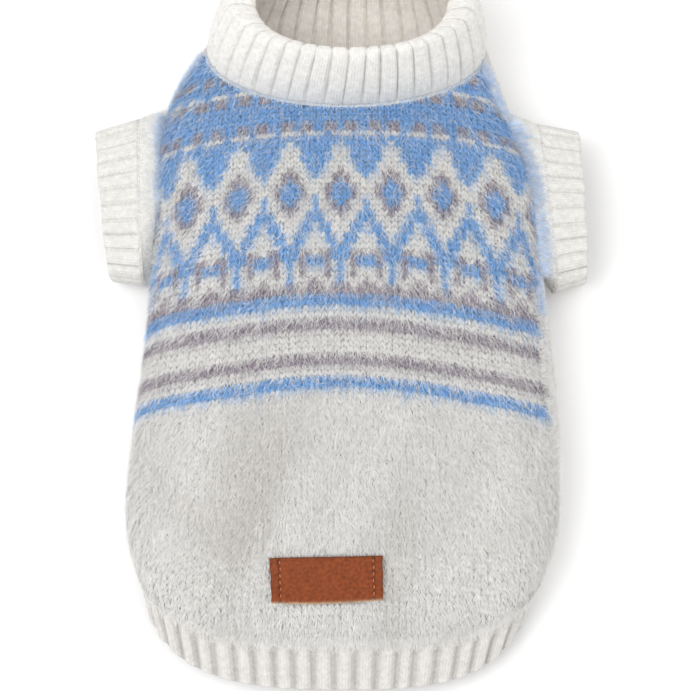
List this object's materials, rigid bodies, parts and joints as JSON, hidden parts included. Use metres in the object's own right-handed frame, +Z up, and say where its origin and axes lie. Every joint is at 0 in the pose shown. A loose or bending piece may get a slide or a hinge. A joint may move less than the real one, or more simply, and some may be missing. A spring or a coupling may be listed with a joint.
{
  "type": "cat sweater",
  "caption": "Short-sleeved knitted sweater for a cat, lying back up, hollow, with a rolled rib collar, rib cuffs, a curved rib hem and a leather patch.",
  "frame": {"origin": "middle of the footprint, on the surface that the belly panel rests on", "axes": "+X to the wearer's right sleeve as seen from above, +Y from the hem to the neck, +Z up from the belly to the back"},
  "size_m": [0.2284, 0.3478, 0.0817],
  "materials": {
    "back_knit": "brushed jacquard knit, white with blue and mauve-grey motifs, long soft nap",
    "plain_knit": "plain off-white knit with a short nap",
    "rib_knit": "smooth off-white rib knit",
    "patch_leather": "matt brown leather with sewn ends"
  },
  "bodies": {
    "root": {"back_panel": "back_knit", "belly_panel": "plain_knit", "collar": "rib_knit", "hem_rib": "rib_knit", "sleeve_left": "plain_knit", "sleeve_right": "plain_knit", "cuff_left": "rib_knit", "cuff_right": "rib_knit", "label": "patch_leather"}
  },
  "joints": []
}
